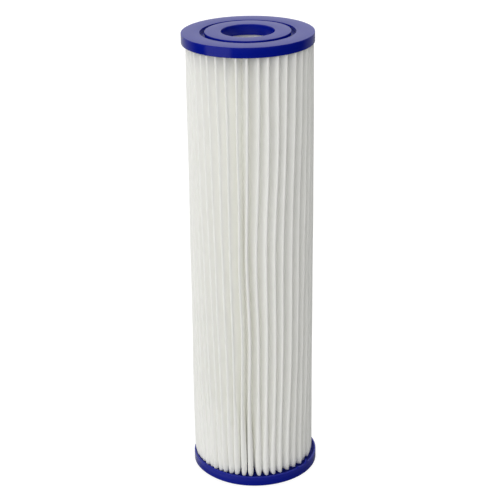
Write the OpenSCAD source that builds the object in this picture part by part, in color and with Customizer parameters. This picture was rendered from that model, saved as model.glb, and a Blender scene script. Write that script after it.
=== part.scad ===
// Pleated water filter cartridge, open at both ends.
// A folded polyester sheet stands around a windowed core tube, and a cast
// soft-vinyl cap at each end seals the sheet's edges and the core's ends.
// Millimetres, +Z up, origin at the middle of the face that it stands on.

/* [Overall] */
// Length over the two sealing rings
cartridge_length = 248; // [120:1:520]
// Outside diameter of the end caps
cap_d = 69; // [68:0.5:76]

/* [End caps] */
// Height of the cap's outer wall
cap_h = 5.5; // [5.2:0.1:9]
// Diameter of the hole through each cap
bore_d = 27.7; // [24:0.1:28.4]
// Outside diameter of the sealing ring around the hole
seal_ring_d = 44.7; // [40:0.1:50]
// Height by which the sealing ring stands proud of the rim
seal_proud = 0.3; // [0.1:0.1:1]
// Width of the groove around the sealing ring
groove_w = 2.45; // [1.5:0.05:4]
// Depth of the groove below the rim
groove_depth = 2.4; // [1:0.1:2.6]
// Rounding of the cap's outer edges
edge_r = 0.6; // [0.2:0.05:1]
// Rounding of the edges of the hole, the sealing ring and the groove
lip_r = 0.35; // [0.1:0.05:0.6]
// Width of the raised lip around the potted pleats
rim_lip_w = 1; // [0.9:0.05:1.2]
// Height of that lip above the potting
rim_lip_h = 0.4; // [0.2:0.05:0.6]
// Depth to which the pleats are potted in a cap
pleat_potting = 2; // [1.2:0.1:2.2]
// Depth to which the core tube is potted in a cap
core_potting = 3.2; // [1.5:0.1:4]

/* [Pleated media] */
// Number of pleats, the seamed one included
pleat_count = 44; // [36:1:50]
// Diameter over the pleat tips
pleat_d = 66.4; // [60:0.1:66.6]
// Thickness of the polyester sheet
media_t = 0.6; // [0.4:0.05:0.7]
// Bend radius at the pleat tips, to the middle of the sheet
tip_fold_r = 0.9; // [0.6:0.05:1.2]
// Bend radius at the pleat roots, to the middle of the sheet
root_fold_r = 0.55; // [0.45:0.05:0.65]
// Length of the flat flaps beyond the seam pleat's flanks
seam_flap = 0.8; // [0:0.1:1]
// Depth of the adhesive bead between the seam pleat's flanks
seam_depth = 4.5; // [2:0.5:10]
// Distance by which the bead lies back from the edges of the flaps
seam_recess = 0.4; // [0.2:0.1:1]

/* [Core tube] */
// Outside diameter of the core tube
core_d = 34; // [32:0.1:36]
// Wall thickness of the core tube
core_wall = 2; // [1.2:0.1:2]
// Clearance between the core tube and the pleat roots
core_gap = 0.3; // [0.1:0.1:0.8]
// Number of windows around the core, an even number
windows_around = 10; // [6:2:12]
// Width of a window
window_w = 6; // [3:0.5:6]
// Height of a window
window_h = 8; // [4:0.5:16]
// Height of the ring between two rows of windows
window_ring = 3; // [2:0.5:8]
// Height of the plain band at each end of the core
core_band = 11; // [8:0.5:30]

/* [Hidden] */
$fn = 96;

cap_r = cap_d / 2;
bore_r = bore_d / 2;
seal_r = seal_ring_d / 2;
groove_r = seal_r + groove_w;
rim_top = seal_proud + cap_h;
potting_level = rim_top - rim_lip_h;
groove_floor = seal_proud + groove_depth;
lip_foot_r = cap_r - rim_lip_w;

pleat_length = cartridge_length - 2 * (potting_level - pleat_potting);
core_length = cartridge_length - 2 * (potting_level - core_potting);
core_bore_d = core_d - 2 * core_wall;

// Steps along a rounded edge, a pleat tip and a pleat root
edge_steps = 4;
tip_steps = 6;
root_steps = 4;
// Overrun of a cutting solid past the face that it opens
cut_over = 1;

// The seamed pleat lies at the back
seam_azimuth = 90;

// Pleats: each sheet face runs round a tip circle and a root circle in turn,
// and a straight flank is their common inner tangent.
pleat_pitch = 360 / pleat_count;
tip_centre = pleat_d / 2 - tip_fold_r - media_t / 2;
root_centre = core_d / 2 + core_gap + root_fold_r + media_t / 2;
tip_to_root = polar(root_centre, pleat_pitch / 2) - [tip_centre, 0];
flank_normal = atan2(tip_to_root.y, tip_to_root.x)
    - acos((tip_fold_r + root_fold_r) / norm(tip_to_root));

function polar(r, a) = [r * cos(a), r * sin(a)];
function arc(centre, r, a0, a1, steps) =
    [for (k = [0:steps]) centre + polar(r, a0 + (a1 - a0) * k / steps)];
function reversed(list) = [for (k = [len(list) - 1:-1:0]) list[k]];
function mirrored(p) = [p.x, -p.y];

// side is 1 on the outer face of the sheet and -1 on the inner face
function tip_arc(i, side) = arc(
    polar(tip_centre, i * pleat_pitch), tip_fold_r + side * media_t / 2,
    i * pleat_pitch - flank_normal, i * pleat_pitch + flank_normal, tip_steps);
function root_arc(i, side) = arc(
    polar(root_centre, (i + 0.5) * pleat_pitch), root_fold_r - side * media_t / 2,
    i * pleat_pitch + flank_normal + 180, (i + 1) * pleat_pitch - flank_normal + 180, root_steps);

// Point on the seam pleat's flank, at a distance inwards from where its tip would begin to bend
function seam_point(side, inwards) =
    [tip_centre, 0] + polar(tip_fold_r + side * media_t / 2, flank_normal)
    + polar(inwards, flank_normal + 90);
function folds(side) = [
    for (i = [0:pleat_count - 2]) each concat(root_arc(i, side), tip_arc(i + 1, side)),
    each root_arc(pleat_count - 1, side),
];
function sheet_face(side) = [
    seam_point(side, -seam_flap),
    each folds(side),
    mirrored(seam_point(side, -seam_flap)),
];

// Corners of the adhesive bead on the sheet's inner face
bead_outer = seam_point(-1, seam_recess - seam_flap);
bead_inner = seam_point(-1, seam_recess - seam_flap + seam_depth);

// The folded sheet in plan: one strip whose two ends lie side by side at the seam
module sheet_plan() rotate(seam_azimuth)
    polygon(concat(sheet_face(1), reversed(sheet_face(-1))));

// The bead of adhesive between the strip's two ends
module bead_plan() rotate(seam_azimuth)
    polygon([bead_outer, bead_inner, mirrored(bead_inner), mirrored(bead_outer)]);

// The sheet and the bead together, as the closed ring that a cap is cast around
module pack_plan() rotate(seam_azimuth) difference() {
    polygon(concat(sheet_face(1), [
        mirrored(seam_point(-1, -seam_flap)), mirrored(bead_outer),
        bead_outer, seam_point(-1, -seam_flap)]));
    polygon([bead_inner, each folds(-1), mirrored(bead_inner)]);
}

module pleated_media() color("#F1F0EA")
    translate([0, 0, potting_level - pleat_potting])
        linear_extrude(pleat_length) sheet_plan();

module seam_bead() color("#E4DCC2")
    translate([0, 0, potting_level - pleat_potting])
        linear_extrude(pleat_length) bead_plan();

// The core tube, with an open lattice of windows
module core_tube() {
    row_pitch = window_h + window_ring;
    rows = floor((core_length - 2 * core_band + window_ring) / row_pitch);
    first_row = (core_length - rows * row_pitch + window_ring) / 2;
    color("#F4F4F2") translate([0, 0, potting_level - core_potting]) difference() {
        cylinder(d = core_d, h = core_length);
        translate([0, 0, -cut_over]) cylinder(d = core_bore_d, h = core_length + 2 * cut_over);
        for (row = [0:rows - 1], k = [0:windows_around / 2 - 1])
            rotate(k * 360 / windows_around)
                translate([-core_d / 2 - cut_over, -window_w / 2, first_row + row * row_pitch])
                    cube([core_d + 2 * cut_over, window_w, window_h]);
    }
}

// Half section of a cap that lies with its sealing ring on z = 0
cap_section = concat(
    arc([bore_r + lip_r, lip_r], lip_r, 180, 270, edge_steps),
    arc([seal_r - lip_r, lip_r], lip_r, 270, 360, edge_steps),
    [[seal_r, groove_floor], [groove_r, groove_floor]],
    arc([groove_r + lip_r, seal_proud + lip_r], lip_r, 180, 270, edge_steps),
    arc([cap_r - edge_r, seal_proud + edge_r], edge_r, 270, 360, edge_steps),
    arc([cap_r - lip_r, rim_top - lip_r], lip_r, 0, 90, edge_steps),
    [[lip_foot_r + rim_lip_h, rim_top], [lip_foot_r, potting_level], [bore_r, potting_level]]);

// What the cap is cast around: the ends of the sheet, the bead and the core tube
module potted_ends() {
    translate([0, 0, potting_level - pleat_potting])
        linear_extrude(pleat_potting + cut_over) pack_plan();
    translate([0, 0, potting_level - core_potting]) difference() {
        cylinder(d = core_d, h = core_potting + cut_over);
        translate([0, 0, -cut_over]) cylinder(d = core_bore_d, h = core_potting + 3 * cut_over);
    }
}

module end_cap() color("#1B2A92") difference() {
    rotate_extrude() polygon(cap_section);
    potted_ends();
}

module bottom_end_cap() end_cap();

module top_end_cap() translate([0, 0, cartridge_length]) mirror([0, 0, 1]) end_cap();

top_end_cap();
bottom_end_cap();
pleated_media();
seam_bead();
core_tube();
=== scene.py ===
"""Looks of a pleated water filter cartridge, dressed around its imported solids.

Two cast vinyl caps hold a folded polyester sheet, which stands around a windowed core tube.
Sizes are in millimetres until a mesh is made. An azimuth is in degrees from the front, towards +X.
Other angles are in radians, unless a comment says degrees.
"""
import math

import bpy
import numpy as np
from mathutils import Matrix, Vector


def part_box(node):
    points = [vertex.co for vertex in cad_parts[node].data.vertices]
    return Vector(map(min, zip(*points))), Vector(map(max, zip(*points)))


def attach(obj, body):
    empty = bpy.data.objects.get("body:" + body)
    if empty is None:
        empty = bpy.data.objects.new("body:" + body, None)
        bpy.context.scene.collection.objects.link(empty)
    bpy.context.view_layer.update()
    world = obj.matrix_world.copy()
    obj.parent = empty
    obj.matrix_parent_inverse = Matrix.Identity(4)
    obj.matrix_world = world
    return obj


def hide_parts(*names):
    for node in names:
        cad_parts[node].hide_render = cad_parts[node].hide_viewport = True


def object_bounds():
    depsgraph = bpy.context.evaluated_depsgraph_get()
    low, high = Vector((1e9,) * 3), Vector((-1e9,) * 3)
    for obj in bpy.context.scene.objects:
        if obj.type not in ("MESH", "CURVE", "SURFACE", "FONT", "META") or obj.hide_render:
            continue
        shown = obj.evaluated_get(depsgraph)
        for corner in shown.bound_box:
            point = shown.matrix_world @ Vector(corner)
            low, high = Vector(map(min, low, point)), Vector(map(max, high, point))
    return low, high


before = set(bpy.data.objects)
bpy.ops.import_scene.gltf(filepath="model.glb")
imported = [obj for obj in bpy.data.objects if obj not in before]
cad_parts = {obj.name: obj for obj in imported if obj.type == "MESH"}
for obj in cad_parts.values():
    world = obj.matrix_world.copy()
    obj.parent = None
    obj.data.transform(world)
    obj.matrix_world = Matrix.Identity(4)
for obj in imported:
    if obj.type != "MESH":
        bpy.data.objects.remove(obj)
cad_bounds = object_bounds()
scene = bpy.context.scene
MM = 0.001
FULL_TURN = 2 * math.pi
QUARTER_TURN = math.pi / 2

# Sizes taken from the solids
cap_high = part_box("bottom_end_cap")[1] / MM
media_low, media_high = (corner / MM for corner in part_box("pleated_media"))
core_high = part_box("core_tube")[1] / MM
cartridge_length = cad_bounds[1].z / MM
cap_r = cap_high.x
rim_top = cap_high.z
pleat_r = media_high.x
core_r = core_high.x

# End caps
bore_r = 13.85
seal_r = 22.35
seal_proud = 0.3
groove_w = 2.45
groove_depth = 2.4
edge_r = 0.3
lip_r = 0.2
rim_edge_r = 0.55
bore_lip_r = 0.45
bore_end = rim_top - 0.1
rim_lip_w = 1.0
rim_lip_h = 0.9
potting_level = rim_top - rim_lip_h
# Height to which the potting creeps up a pleat, and the distance over which it falls away
creep_h = 0.45
creep_fade = 0.5
# Lumps of flash left on the lower rim: azimuth, height and half width
rim_flash = ((57, 1.9, 1.1), (44, 0.7, 1.0))
# The lower cap is warped, so that its rim stands high at an azimuth: azimuth, height and half width
rim_warp = (-60, 0.8, 21)

# Folded sheet
pleat_count = 44
media_t = 0.6
core_gap = 0.3
tip_inset = 0.05
root_fold_r = 0.5
pinched_fold_r = 0.02
seam_flap = 0.8
seam_depth = 4.5
seam_recess = 0.4
# How the pleats drift round the pack, in degrees: they spread at the top and crowd at the foot
top_spread, top_turn = 9.7, -1.3
foot_crowding, foot_turn, foot_pinch = 8.3, -1.5, 3.7
# The roots hold back a share of that drift, and the front ones slant by degrees, at the foot and the top
root_hold = 0.6
slant_foot, slant_top = 9, 6
# The front right pleats bow by some degrees, near an azimuth, in a wave along shares of the height
bow_size = 1.3
bow_azimuth, bow_spread = 12, 28
bow_crest, bow_wave = 0.26, 0.64
# The pack leans sideways, from the foot to the top, but for a margin around the core
lean_foot, lean_top = -0.75, 0.7
lean_margin = 2
# Scatter of the tips and the spans and sizes of the waves in which they wander: in degrees, then in radius
tip_scatter, radius_scatter = 0.45, 0.18
tip_waves = ((160, 0.3), (70, 0.2), (24, 0.025))
radius_waves = ((120, 0.12), (45, 0.04))
wave_stretch = (0.75, 1.3)
# Half width of a sharp fold, and how much wider a full finger is, which starts to thin out at a height
sharp_half_w, finger_swell = 0.68, 0.87
finger_top, finger_fade = 12, 46
# Pleats are slimmer or fuller by chance
fullness = (0.86, 1.1)
# A half width is at most a share of the spacing, and leaves room for the least bend
crowded_share, least_bend = 0.39, 0.12
# A foot narrows by a share over its taper, mostly on one side, and its tip is drawn in over a height
foot_taper, foot_narrowing = (4, 7.5), 0.6
aside_share, aside_turn = 0.8, 3
draw_in, draw_in_h = (0.9, 1.6), 6
# The glue's edge wavers by two waves: sizes, radians for each millimetre, and the quick one's phase
slow_waver, slow_turn = 0.15, 0.21
quick_waver, quick_turn, quick_phase = 0.1, 0.53, 1

# Where the photograph was taken from, in degrees where it is turned, with a 36 mm wide sensor
camera_place = (0, -762.3, 433.6)
camera_pitch = -21.92
camera_yaw = -0.067
camera_roll = -1.03
camera_lens = 109.2
sensor_width = 36

# The room's glow leans to an azimuth and an elevation, and would end at a cosine from there
room_glow = 1.03
room_azimuth, room_elevation = -60, 8
room_end = -1.2
# The floor glows where it is seen directly
floor_lift = 0.86

# Painted reflections: what the caps' gloss shows of the floor, as brightness at azimuths: against the foot,
# where it is dim as a painted contact shadow, beside it and far off
contact_glow = ((-180, 0.1), (-90, 0.5), (-66, 0.22), (-30, 0.3), (0, 0.12), (30, 0.1), (60, 0.14), (90, 0.2),
                (180, 0.1))
foot_glow = ((-180, 0.25), (-90, 0.9), (-66, 0.52), (-32, 0.76), (-8, 0.38), (10, 0.3), (78, 0.3), (90, 0.5),
             (180, 0.25))
far_glow = ((-180, 0.62), (-144, 0.62), (-128, 0.5), (-108, 0.2), (-98, 0), (-77, 0), (-75, 1), (-31, 1),
            (-29, 0), (104, 0), (112, 0.16), (124, 0.26), (144, 0.36), (180, 0.36))

# Even places of the tips, the seam pleat being both the first and the last, and how free each is to wander
tip_count = pleat_count + 1
even = np.linspace(-math.pi, math.pi, tip_count)
loose = np.sin(np.linspace(0, math.pi, tip_count)) ** 0.5
loose[0] = loose[-1] = 0

random = np.random.default_rng(7)


def linear(hex_colour):
    """An sRGB hex colour as linear red, green, blue and alpha."""
    shares = [int(hex_colour[k:k + 2], 16) / 255 for k in (1, 3, 5)]
    return [s / 12.92 if s <= 0.04045 else ((s + 0.055) / 1.055) ** 2.4 for s in shares] + [1]


def direction(azimuth, elevation):
    """Unit vector towards an azimuth and an elevation, both in degrees."""
    a, e = math.radians(azimuth), math.radians(elevation)
    return Vector((math.sin(a) * math.cos(e), -math.cos(a) * math.cos(e), math.sin(e)))


def smooth(share):
    """A soft step from 0 to 1."""
    share = np.clip(share, 0, 1)
    return share * share * (3 - 2 * share)


def between(values):
    """The middle of each value and the next one in a row."""
    return (values[..., 1:] + values[..., :-1]) / 2


def past(angle, start):
    """An angle as it comes round after a start."""
    return start + (angle - start) % FULL_TURN


def nearest(angle, middle):
    """An angle, turned to within half a turn of a middle."""
    return middle + (angle - middle + math.pi) % FULL_TURN - math.pi


def polar(radius, angle):
    """Points at a radius and an angle from +X, with x and y last."""
    return np.stack([radius * np.cos(angle), radius * np.sin(angle)], axis=-1)


def arc(centre, radius, start, end, steps):
    """Points along an arc in the half section, angles in degrees."""
    angles = [math.radians(start + (end - start) * k / steps) for k in range(steps + 1)]
    return [(centre[0] + radius * math.cos(a), centre[1] + radius * math.sin(a)) for a in angles]


def new_piece(name, points, faces, material, sharp_angle=30):
    """A smooth-shaded mesh piece in the shared frame, with sharp edges past an angle in degrees."""
    mesh = bpy.data.meshes.new(name)
    mesh.from_pydata((np.asarray(points) * MM).tolist(), [], faces)
    mesh.update()
    mesh.shade_smooth()
    mesh.set_sharp_from_angle(angle=math.radians(sharp_angle))
    mesh.materials.append(material)
    piece = bpy.data.objects.new(name, mesh)
    scene.collection.objects.link(piece)
    return piece


def ring_faces(rows, columns):
    """Quads of a grid whose columns close on themselves."""
    return [
        (r * columns + c, r * columns + (c + 1) % columns,
         (r + 1) * columns + (c + 1) % columns, (r + 1) * columns + c)
        for r in range(rows - 1) for c in range(columns)
    ]


# Materials

# Sockets of a Mix node that mixes colours
MIX_A, MIX_B, MIX_RESULT = 6, 7, 2


def new_material(name):
    """An empty material whose nodes are to be added."""
    material = bpy.data.materials.new(name)
    material.use_nodes = True
    material.node_tree.nodes.clear()
    return material


def add_node(owner, kind, values=None, links=None, **settings):
    """A node with its settings, its sockets' values and the outputs that are linked to its sockets."""
    tree = owner.node_tree
    node = tree.nodes.new(kind)
    for name, setting in settings.items():
        setattr(node, name, setting)
    for socket, value in (values or {}).items():
        node.inputs[socket].default_value = value
    for socket, output in (links or {}).items():
        tree.links.new(output, node.inputs[socket])
    return node


def per_mm(size):
    """The scale of a noise texture whose features are a size in millimetres."""
    return 1 / (size * MM)


def polyester_nonwoven():
    """Spun-bonded polyester, pressed flat: dead matt white, faintly cloudy where fibres lie thicker.

    Light bounces many times between the near-white folds, so the hollows stay pale and a little warm.
    """
    cloud_mm = 7
    # Real fibres are about 0.02 mm thick; their tangle is drawn coarser so that it shows
    fibre_mm = 0.7
    material = new_material("polyester_nonwoven")
    place = add_node(material, "ShaderNodeTexCoord").outputs["Object"]
    cloud = add_node(material, "ShaderNodeTexNoise", {"Scale": per_mm(cloud_mm), "Detail": 3},
                     {"Vector": place})
    tangle = add_node(material, "ShaderNodeTexNoise",
                      {"Scale": per_mm(fibre_mm), "Detail": 4, "Roughness": 0.7, "Distortion": 1.5},
                      {"Vector": place})
    colour = add_node(material, "ShaderNodeMix", {MIX_A: linear("#FEFEFE"), MIX_B: linear("#FDFDFB")},
                      {0: cloud.outputs[0]}, data_type="RGBA")
    bump = add_node(material, "ShaderNodeBump", {"Strength": 0.12, "Distance": 0.1 * MM},
                    {"Height": tangle.outputs[0]})
    shader = add_node(material, "ShaderNodeBsdfPrincipled",
                      {"Roughness": 0.9, "IOR": 1.5, "Specular IOR Level": 0.2},
                      {"Base Color": colour.outputs[MIX_RESULT], "Normal": bump.outputs[0]})
    add_node(material, "ShaderNodeOutputMaterial", links={"Surface": shader.outputs[0]})
    return material


def vinyl_body(material, thin_colour, thick_colour):
    """Vinyl's colour, which drifts between two shades, and its orange peel, as links to a shader."""
    peel_mm = 1.6
    flow_mm = 14
    place = add_node(material, "ShaderNodeTexCoord").outputs["Object"]
    flow = add_node(material, "ShaderNodeTexNoise", {"Scale": per_mm(flow_mm), "Detail": 2},
                    {"Vector": place})
    peel = add_node(material, "ShaderNodeTexNoise", {"Scale": per_mm(peel_mm), "Detail": 2},
                    {"Vector": place})
    colour = add_node(material, "ShaderNodeMix", {MIX_A: linear(thin_colour), MIX_B: linear(thick_colour)},
                      {0: flow.outputs[0]}, data_type="RGBA")
    bump = add_node(material, "ShaderNodeBump", {"Strength": 0.06, "Distance": 0.2 * MM},
                    {"Height": peel.outputs[0]})
    return {"Base Color": colour.outputs[MIX_RESULT], "Normal": bump.outputs[0]}


def cast_vinyl():
    """Soft PVC plastisol, poured and fused in an open mould: deep blue, with a slight orange peel.

    The mould's side leaves the wall shiny; the flat faces are satin.
    """
    material = new_material("cast_vinyl")
    facing = add_node(material, "ShaderNodeSeparateXYZ",
                      links={0: add_node(material, "ShaderNodeNewGeometry").outputs["Normal"]})
    flatness = add_node(material, "ShaderNodeMath", links={0: facing.outputs["Z"]}, operation="ABSOLUTE")
    roughness = add_node(material, "ShaderNodeMapRange", {"From Min": 0.3, "To Min": 0.18, "To Max": 0.32},
                         {"Value": flatness.outputs[0]})
    shader = add_node(material, "ShaderNodeBsdfPrincipled", {"IOR": 1.5, "Specular IOR Level": 0.28},
                      {"Roughness": roughness.outputs[0], **vinyl_body(material, "#02138A", "#041898")})
    add_node(material, "ShaderNodeOutputMaterial", links={"Surface": shader.outputs[0]})
    return material


def potting_vinyl_painted_shade():
    """The same vinyl where it set in the open air, around the ends of the sheet: dull, and painted darker as
    shade in the recess between the feet.
    """
    material = new_material("potting_vinyl_painted_shade")
    # Both shades are painted shade: darker than the cast vinyl, for the shadow between the pleats' feet
    shader = add_node(material, "ShaderNodeBsdfPrincipled",
                      {"Roughness": 0.6, "IOR": 1.5, "Specular IOR Level": 0.1},
                      vinyl_body(material, "#020D62", "#03106C"))
    add_node(material, "ShaderNodeOutputMaterial", links={"Surface": shader.outputs[0]})
    return material


def moulded_polypropylene():
    """Injection-moulded natural polypropylene: milky white, satin, faintly waxy."""
    grain_mm = 0.8
    flow_mm = 20
    material = new_material("moulded_polypropylene")
    place = add_node(material, "ShaderNodeTexCoord").outputs["Object"]
    flow = add_node(material, "ShaderNodeTexNoise", {"Scale": per_mm(flow_mm), "Detail": 2},
                    {"Vector": place})
    grain = add_node(material, "ShaderNodeTexNoise", {"Scale": per_mm(grain_mm), "Detail": 2},
                     {"Vector": place})
    colour = add_node(material, "ShaderNodeMix", {MIX_A: linear("#FCFCFB"), MIX_B: linear("#F8F8F6")},
                      {0: flow.outputs[0]}, data_type="RGBA")
    bump = add_node(material, "ShaderNodeBump", {"Strength": 0.05, "Distance": 0.1 * MM},
                    {"Height": grain.outputs[0]})
    shader = add_node(material, "ShaderNodeBsdfPrincipled", {"Roughness": 0.4, "IOR": 1.49},
                      {"Base Color": colour.outputs[MIX_RESULT], "Normal": bump.outputs[0]})
    add_node(material, "ShaderNodeOutputMaterial", links={"Surface": shader.outputs[0]})
    return material


def hot_melt_adhesive():
    """Hot-melt glue, squeezed out and set: ivory, waxy, with soft runs."""
    run_mm = 5
    material = new_material("hot_melt_adhesive")
    place = add_node(material, "ShaderNodeTexCoord").outputs["Object"]
    runs = add_node(material, "ShaderNodeTexNoise", {"Scale": per_mm(run_mm), "Detail": 2},
                    {"Vector": place})
    colour = add_node(material, "ShaderNodeMix", {MIX_A: linear("#E9E1C8"), MIX_B: linear("#DDD2B2")},
                      {0: runs.outputs[0]}, data_type="RGBA")
    bump = add_node(material, "ShaderNodeBump", {"Strength": 0.2, "Distance": 0.4 * MM},
                    {"Height": runs.outputs[0]})
    shader = add_node(material, "ShaderNodeBsdfPrincipled", {"Roughness": 0.35, "IOR": 1.48},
                      {"Base Color": colour.outputs[MIX_RESULT], "Normal": bump.outputs[0]})
    add_node(material, "ShaderNodeOutputMaterial", links={"Surface": shader.outputs[0]})
    return material


# Folded sheet

def wander(rows, waves):
    """Seeded soft wandering along the height, one column for each tip: waves of a span and a size."""
    total = np.zeros((len(rows), tip_count))
    for span, size in waves:
        phase = random.uniform(0, FULL_TURN, tip_count)
        stretch = random.uniform(*wave_stretch, tip_count)
        weight = random.normal(0, size, tip_count)
        total += weight * np.sin(rows[:, None] * FULL_TURN / span * stretch + phase)
    return total


def drift(angle, share):
    """How far a pleat has drifted round from its even angle to the front, at a share of the height.

    At the top the front pleats stand wide apart; at the foot they crowd together to the left.
    The seam, at the back, stays in its place.
    """
    at_top = top_spread * np.sin(angle) + top_turn * (1 + np.cos(angle))
    at_foot = (foot_turn * (1 + np.cos(angle)) - foot_crowding * np.sin(angle)
               + foot_pinch * (1 - np.cos(2 * angle)))
    return np.radians(at_foot + (at_top - at_foot) * share)


def bow(angle, share):
    """How far the front right pleats bow round at a share of the height."""
    along = np.sin(math.pi * share) * np.cos(FULL_TURN * (share - bow_crest) / bow_wave)
    near = np.exp(-((np.degrees(angle) - bow_azimuth) / bow_spread) ** 2)
    return np.radians(bow_size) * along * near


def sheet_rows():
    """Heights of the sheet's rows, close together where the feet taper."""
    foot_h, foot_step, body_rows = 12, 0.8, 43
    feet = potting_level + np.arange(0, foot_h, foot_step)
    body = np.linspace(feet[-1], cartridge_length - potting_level, body_rows)[1:]
    return np.concatenate([[media_low.z], feet, body, [media_high.z]])


def above_potting(rows):
    """Heights of the rows above the lower potting, as a column."""
    return np.clip(rows - potting_level, 0, None)[:, None]


def pleat_angles(rows):
    """Angles of the tips and of the roots between them, from the front, as (row, pleat) arrays."""
    share = ((rows - media_low.z) / (media_high.z - media_low.z))[:, None]
    drifted = drift(even, share)
    tips = even + drifted + bow(even, share)
    tips = tips + loose * np.radians(random.normal(0, tip_scatter, tip_count))
    tips = tips + loose * np.radians(wander(rows, tip_waves))
    slant = np.radians(slant_foot + (slant_top - slant_foot) * share)
    at_front = smooth((1 + np.cos(between(even))) / 2)
    roots = between(tips) - root_hold * between(drifted) - slant * at_front
    return tips, roots


def half_widths(rows, tips):
    """Half width over each pleat, and how much of it the foot has lost.

    Folds are sharp above and full fingers near the foot, and narrow into the potting.
    """
    spacing = np.minimum(np.diff(tips, prepend=tips[:, -2:-1] - FULL_TURN),
                         np.diff(tips, append=tips[:, 1:2] + FULL_TURN)) * pleat_r
    finger = smooth(1 - (rows[:, None] - finger_top) / finger_fade)
    full = (sharp_half_w + finger_swell * finger) * random.uniform(*fullness, tip_count)
    rise = np.clip(above_potting(rows) / random.uniform(*foot_taper, tip_count), 0, 1)
    rounded = np.sqrt(np.clip(1 - (1 - rise) ** 2, 0, 1))
    lost = np.sign(loose) * full * foot_narrowing * (1 - rounded)
    half_width = np.minimum(full - lost, crowded_share * spacing)
    return np.maximum(half_width, media_t / 2 + least_bend), lost


def tip_radii(rows):
    """Radius out to each pleat's tip, which is drawn in at the foot."""
    radii = pleat_r - tip_inset + loose * random.normal(0, radius_scatter, tip_count)
    radii = radii + loose * wander(rows, radius_waves)
    low = 1 - np.clip(above_potting(rows) / draw_in_h, 0, 1)
    return radii - random.uniform(*draw_in, tip_count) * low ** 2


def flank_angle(tip, bend, root, turn):
    """The angle at which a flank, the inner tangent of a tip's and a root's circle, leaves the tip's."""
    across = root - tip
    length = np.linalg.norm(across, axis=-1)
    return np.arctan2(across[..., 1], across[..., 0]) + turn * np.arccos((bend + root_fold_r) / length)


def fold_points(centre, radius, first, last, steps):
    """Points round a fold, from its first angle to its last."""
    return [centre + polar(radius, first + (last - first) * s / steps) for s in range(steps + 1)]


def flank_points(start, end):
    """Two points along a flank, which part it into thirds."""
    return [start + (end - start) * share for share in (0.33, 0.67)]


def sheet_section(rows):
    """Both faces of the folded sheet as (row, point, xy) arrays, and the strip's two ends at the seam.

    Each end is where its inner face begins to bend, with the direction inwards along its flank.
    """
    tips, roots = pleat_angles(rows)
    half_width, lost = half_widths(rows, tips)
    tip_r = tip_radii(rows)

    # A foot narrows towards the side that is away from the front
    aside = aside_share * loose * np.tanh(aside_turn * even) * lost / pleat_r
    tip_angle = tips + aside - QUARTER_TURN
    root_angle = roots - QUARTER_TURN
    tip_bend = half_width - media_t / 2
    tip_at = polar(tip_r - half_width, tip_angle)
    root_at = polar(core_r + core_gap + root_fold_r + media_t / 2, root_angle)
    leaving = flank_angle(tip_at[:, :-1], tip_bend[:, :-1], root_at, -1)
    entering = flank_angle(tip_at[:, 1:], tip_bend[:, 1:], root_at, 1)
    tip_steps, root_steps = 8, 4

    def face(side):
        """The outer face for a side of 1 and the inner face for -1, from the strip's start to its end."""
        tip_radius = np.maximum(tip_bend + side * media_t / 2, pinched_fold_r)
        root_radius = root_fold_r - side * media_t / 2
        left = tip_at[:, :-1] + polar(tip_radius[:, :-1], leaving)
        reached = tip_at[:, 1:] + polar(tip_radius[:, 1:], entering)
        points = [left[:, 0] + polar(seam_flap, leaving[:, 0] - QUARTER_TURN)]
        for k in range(pleat_count):
            root = fold_points(root_at[:, k], root_radius,
                               past(leaving[:, k] + math.pi, root_angle[:, k]),
                               past(entering[:, k] + math.pi, root_angle[:, k]), root_steps)
            points += flank_points(left[:, k], root[0]) + root + flank_points(root[-1], reached[:, k])
            if k + 1 < pleat_count:
                points += fold_points(tip_at[:, k + 1], tip_radius[:, k + 1],
                                      nearest(entering[:, k], tip_angle[:, k + 1]),
                                      nearest(leaving[:, k + 1], tip_angle[:, k + 1]), tip_steps)
        points.append(reached[:, -1] + polar(seam_flap, entering[:, -1] + QUARTER_TURN))
        return np.stack(points, axis=1)

    seam_bend = np.maximum(tip_bend - media_t / 2, pinched_fold_r)
    ends = (
        (tip_at[:, 0] + polar(seam_bend[:, 0], leaving[:, 0]), leaving[:, 0] + QUARTER_TURN),
        (tip_at[:, -1] + polar(seam_bend[:, -1], entering[:, -1]), entering[:, -1] - QUARTER_TURN),
    )
    return face(1), face(-1), ends


def lean(points, rows):
    """Shifts the outer part of the pack: it leans to the right of its caps at the top, to the left below."""
    share = smooth((rows - potting_level) / (cartridge_length - 2 * potting_level))
    shift = lean_foot + (lean_top - lean_foot) * share
    radius = np.linalg.norm(points, axis=-1)
    weight = smooth((radius - core_r - lean_margin) / (pleat_r - core_r - lean_margin))
    moved = points.copy()
    moved[..., 0] += shift[:, None] * weight
    return moved


def with_heights(points, rows):
    """Plan points as points in space, each row at its own height."""
    heights = np.broadcast_to(rows[:, None, None], points.shape[:2] + (1,))
    return np.concatenate([points, heights], axis=-1)


def strip_mesh(name, outer, inner, material):
    """A closed strip between two faces of (row, point, xyz)."""
    count_rows, count_points = outer.shape[:2]
    loops = np.concatenate([outer, inner[:, ::-1]], axis=1)
    columns = 2 * count_points
    faces = ring_faces(count_rows, columns)
    top = (count_rows - 1) * columns
    for k in range(count_points - 1):
        rung = (k, k + 1, columns - 2 - k, columns - 1 - k)
        faces.append(rung[::-1])
        faces.append(tuple(top + corner for corner in rung))
    return new_piece(name, loops.reshape(-1, 3), faces, material, sharp_angle=55)


def folded_sheet(material, outer, inner):
    """The polyester strip, which stands in for the imported pleated media."""
    piece = strip_mesh("folded_sheet", outer, inner, material)
    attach(piece, "root")
    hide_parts("pleated_media")


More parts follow.
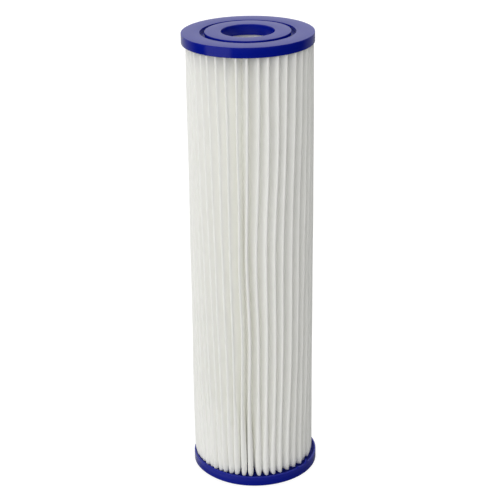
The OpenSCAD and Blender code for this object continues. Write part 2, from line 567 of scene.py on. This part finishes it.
def seam_glue(material, ends, rows):
    """The bead between the strip's two ends, with an edge that wavers where it was squeezed out."""
    waver = slow_waver * np.sin(rows * slow_turn) + quick_waver * np.sin(rows * quick_turn + quick_phase)
    outside = seam_recess - seam_flap + waver
    inside = outside + seam_depth
    (start, start_inwards), (end, end_inwards) = ends
    corners = [
        start + polar(outside, start_inwards),
        start + polar(inside, start_inwards),
        end + polar(inside, end_inwards),
        end + polar(outside, end_inwards),
    ]
    corners = with_heights(lean(np.stack(corners, axis=1), rows), rows)
    piece = strip_mesh("seam_glue", corners[:, :2], corners[:, 3:1:-1], material)
    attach(piece, "root")
    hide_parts("seam_bead")


# End caps

def cap_section():
    """Half section of a cap whose sealing ring lies at height 0, and the index where its potting begins."""
    groove_r = seal_r + groove_w
    groove_floor = seal_proud + groove_depth
    lip_foot_r = cap_r - rim_lip_w
    bore_steps, edge_steps, lip_steps = 8, 6, 5
    potting_step = 0.5
    outside = (
        arc((bore_r + bore_lip_r, bore_lip_r), bore_lip_r, 180, 270, bore_steps)
        + arc((seal_r - lip_r, lip_r), lip_r, 270, 360, lip_steps)
        + [(seal_r, groove_floor), (groove_r, groove_floor)]
        + arc((groove_r + lip_r, seal_proud + lip_r), lip_r, 180, 270, lip_steps)
        + arc((cap_r - edge_r, seal_proud + edge_r), edge_r, 270, 360, edge_steps)
        + arc((cap_r - rim_edge_r, rim_top - rim_edge_r), rim_edge_r, 0, 90, edge_steps)
        + arc((lip_foot_r + lip_r, rim_top - lip_r), lip_r, 90, 180, lip_steps)
    )
    potting = [(r, potting_level) for r in np.arange(lip_foot_r, core_r - potting_step, -potting_step)]
    return np.array(outside + potting + [(bore_r, bore_end)]), len(outside)


def rim_bump(angles, azimuth, height, half_width):
    """Heights of a soft bump on the rim, at angles from +X."""
    off = nearest(angles - math.radians(azimuth - 90), 0)
    return height * np.exp(-(off * cap_r / half_width) ** 2)


def cast_cap(name, node, material, potting_material, feet, top):
    """A poured cap; its potting creeps a little way up each foot. The lower one has flash and is warped."""
    steps_per_pleat = 12
    around = steps_per_pleat * pleat_count
    section, first_potting = cap_section()
    angles = np.linspace(0, FULL_TURN, around, endpoint=False)
    points = np.zeros((len(section), around, 3))
    points[..., :2] = polar(section[:, :1], angles)
    points[..., 2] = section[:, 1:]
    potted = points[first_potting:-1]
    gaps = np.linalg.norm(potted[:, :, None, :2] - feet[None, None], axis=-1).min(axis=2)
    potted[..., 2] += creep_h * np.exp(-np.clip(gaps - media_t / 2, 0, None) / creep_fade)
    if top:
        points[..., 2] = cartridge_length - points[..., 2]
    else:
        on_rim = section[:, 1] >= rim_top - lip_r
        for lump in rim_flash:
            points[on_rim, :, 2] += rim_bump(angles, *lump)
        outwards = smooth((section[:, :1] - seal_r) / (cap_r - seal_r))
        points[..., 2] += outwards * rim_bump(angles, *rim_warp)
    faces = ring_faces(len(section), around)
    last = (len(section) - 1) * around
    faces += [(last + c, last + (c + 1) % around, (c + 1) % around, c) for c in range(around)]
    if top:
        faces = [face[::-1] for face in faces]
    piece = new_piece(name, points.reshape(-1, 3), faces, material, sharp_angle=40)
    # The potting's faces take the vinyl that is painted darker as shade
    piece.data.materials.append(potting_material)
    for index in range(first_potting * around, last):
        piece.data.polygons[index].material_index = 1
    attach(piece, "root")
    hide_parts(node)


def build_cartridge():
    """The sheet, its glue, both caps, and the core tube's finish."""
    vinyl = cast_vinyl()
    # Vinyl painted darker as shade, for the potting between the feet
    potting = potting_vinyl_painted_shade()
    rows = sheet_rows()
    outer, inner, ends = sheet_section(rows)
    outer = lean(outer, rows)
    inner = lean(inner, rows)
    middle = (outer + inner) / 2
    folded_sheet(polyester_nonwoven(), with_heights(outer, rows), with_heights(inner, rows))
    seam_glue(hot_melt_adhesive(), ends, rows)
    cast_cap("bottom_cap", "bottom_end_cap", vinyl, potting, middle[1], top=False)
    cast_cap("top_cap", "top_end_cap", vinyl, potting, middle[-2], top=True)
    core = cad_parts["core_tube"]
    core.data.materials.clear()
    core.data.materials.append(moulded_polypropylene())


# Studio

def seen_directly(owner):
    """1 for rays that show a surface as background: camera, mirror and see-through rays."""
    path = add_node(owner, "ShaderNodeLightPath")
    first = add_node(owner, "ShaderNodeMath", links={
        0: path.outputs["Is Camera Ray"], 1: path.outputs["Is Glossy Ray"]}, operation="MAXIMUM")
    return add_node(owner, "ShaderNodeMath", links={
        0: first.outputs[0], 1: path.outputs["Is Transmission Ray"]}, operation="MAXIMUM").outputs[0]


def studio_world():
    """Soft light from all round, brightest from the left; seen directly it is plain white."""
    world = bpy.data.worlds.new("studio")
    scene.world = world
    world.use_nodes = True
    world.node_tree.nodes.clear()
    place = add_node(world, "ShaderNodeTexCoord").outputs["Generated"]
    facing = add_node(world, "ShaderNodeVectorMath", {1: direction(room_azimuth, room_elevation)}, {0: place},
                      operation="DOT_PRODUCT")
    level = add_node(world, "ShaderNodeMapRange", {"From Min": room_end, "To Max": room_glow},
                     {"Value": facing.outputs["Value"]})
    ambient = add_node(world, "ShaderNodeBackground", {"Color": linear("#FFFFFA")},
                       {"Strength": level.outputs[0]})
    white = add_node(world, "ShaderNodeBackground", {"Color": linear("#FFFFFF"), "Strength": 1})
    mix = add_node(world, "ShaderNodeMixShader", links={
        0: seen_directly(world), 1: ambient.outputs[0], 2: white.outputs[0]})
    add_node(world, "ShaderNodeOutputWorld", links={"Surface": mix.outputs[0]})


def studio_floor():
    """A white floor; seen directly it is lifted, so that only the shadow stands out from the white."""
    material = new_material("white_sweep")
    paint = add_node(material, "ShaderNodeBsdfDiffuse", {"Color": linear("#A0A0A0")})
    shade = add_node(material, "ShaderNodeBsdfDiffuse", {"Color": linear("#8C8C8C")})
    lift = add_node(material, "ShaderNodeEmission", {"Color": linear("#FFFFFF"), "Strength": floor_lift})
    lifted = add_node(material, "ShaderNodeAddShader", links={0: shade.outputs[0], 1: lift.outputs[0]})
    mix = add_node(material, "ShaderNodeMixShader", links={
        0: seen_directly(material), 1: paint.outputs[0], 2: lifted.outputs[0]})
    add_node(material, "ShaderNodeOutputMaterial", links={"Surface": mix.outputs[0]})
    half = 6000
    corners = [(-half, -half, 0), (half, -half, 0), (half, half, 0), (-half, half, 0)]
    floor = new_piece("floor", corners, [(0, 1, 2, 3)], material)


def card(name, inner, outer, glow):
    """A ring on the floor that glows only in the caps' gloss, a painted reflection as bright as it is set at
    each azimuth.
    """
    material = new_material(name)
    level = add_node(material, "ShaderNodeAttribute", attribute_name="level").outputs["Fac"]
    light = add_node(material, "ShaderNodeEmission", {"Color": linear("#FFFFFF")}, {"Strength": level})
    add_node(material, "ShaderNodeOutputMaterial", links={"Surface": light.outputs[0]})
    height = 0.1
    azimuths = np.arange(-180, 181)
    angles = np.radians(azimuths - 90)
    points = [(*polar(r, a), height) for a in angles for r in (inner, outer)]
    faces = [(2 * k, 2 * k + 1, 2 * k + 3, 2 * k + 2) for k in range(len(azimuths) - 1)]
    piece = new_piece(name, points, faces, material)
    levels = np.repeat(np.interp(azimuths, *zip(*glow)), 2)
    piece.data.attributes.new("level", "FLOAT", "POINT").data.foreach_set("value", levels)
    piece.visible_camera = False
    piece.visible_diffuse = False
    piece.visible_shadow = False
    piece.visible_transmission = False


def soft_box(name, azimuth, elevation, distance, size, level):
    """A square soft light that faces the middle of the cartridge.

    Its distance and size are in metres. Far off, it would light a white surface there to its level.
    """
    target = Vector((0, 0, cartridge_length / 2)) * MM
    away = direction(azimuth, elevation)
    data = bpy.data.lights.new(name, "AREA")
    data.size = size
    data.energy = level * (math.pi * distance) ** 2
    light = bpy.data.objects.new(name, data)
    light.location = target + away * distance
    light.rotation_euler = away.to_track_quat("Z", "Y").to_euler()
    light.visible_glossy = False
    scene.collection.objects.link(light)


def studio_camera():
    """The camera where the photograph was taken from."""
    data = bpy.data.cameras.new("camera")
    data.sensor_width = sensor_width
    data.lens = camera_lens
    camera = bpy.data.objects.new("camera", data)
    turn = (
        Matrix.Rotation(math.radians(-camera_yaw), 4, "Z")
        @ Matrix.Rotation(math.radians(90 + camera_pitch), 4, "X")
        @ Matrix.Rotation(math.radians(camera_roll), 4, "Z")
    )
    camera.matrix_world = Matrix.Translation(Vector(camera_place) * MM) @ turn
    scene.collection.objects.link(camera)
    scene.camera = camera


scene.view_settings.view_transform = "Standard"
# Light passes between the white folds many times before it leaves them
scene.cycles.max_bounces = 40
scene.cycles.diffuse_bounces = 32
build_cartridge()
studio_world()
studio_floor()
# Rings of painted reflection, for the caps' gloss only
card("contact_card", inner=28, outer=39, glow=contact_glow)
card("foot_card", inner=39, outer=200, glow=foot_glow)
card("far_card", inner=250, outer=4000, glow=far_glow)
soft_box("front_light", azimuth=-24, elevation=15, distance=1.4, size=1.6, level=0.36)
soft_box("back_light", azimuth=155, elevation=20, distance=1.4, size=1.6, level=0.7)
studio_camera()

bpy.context.view_layer.update()
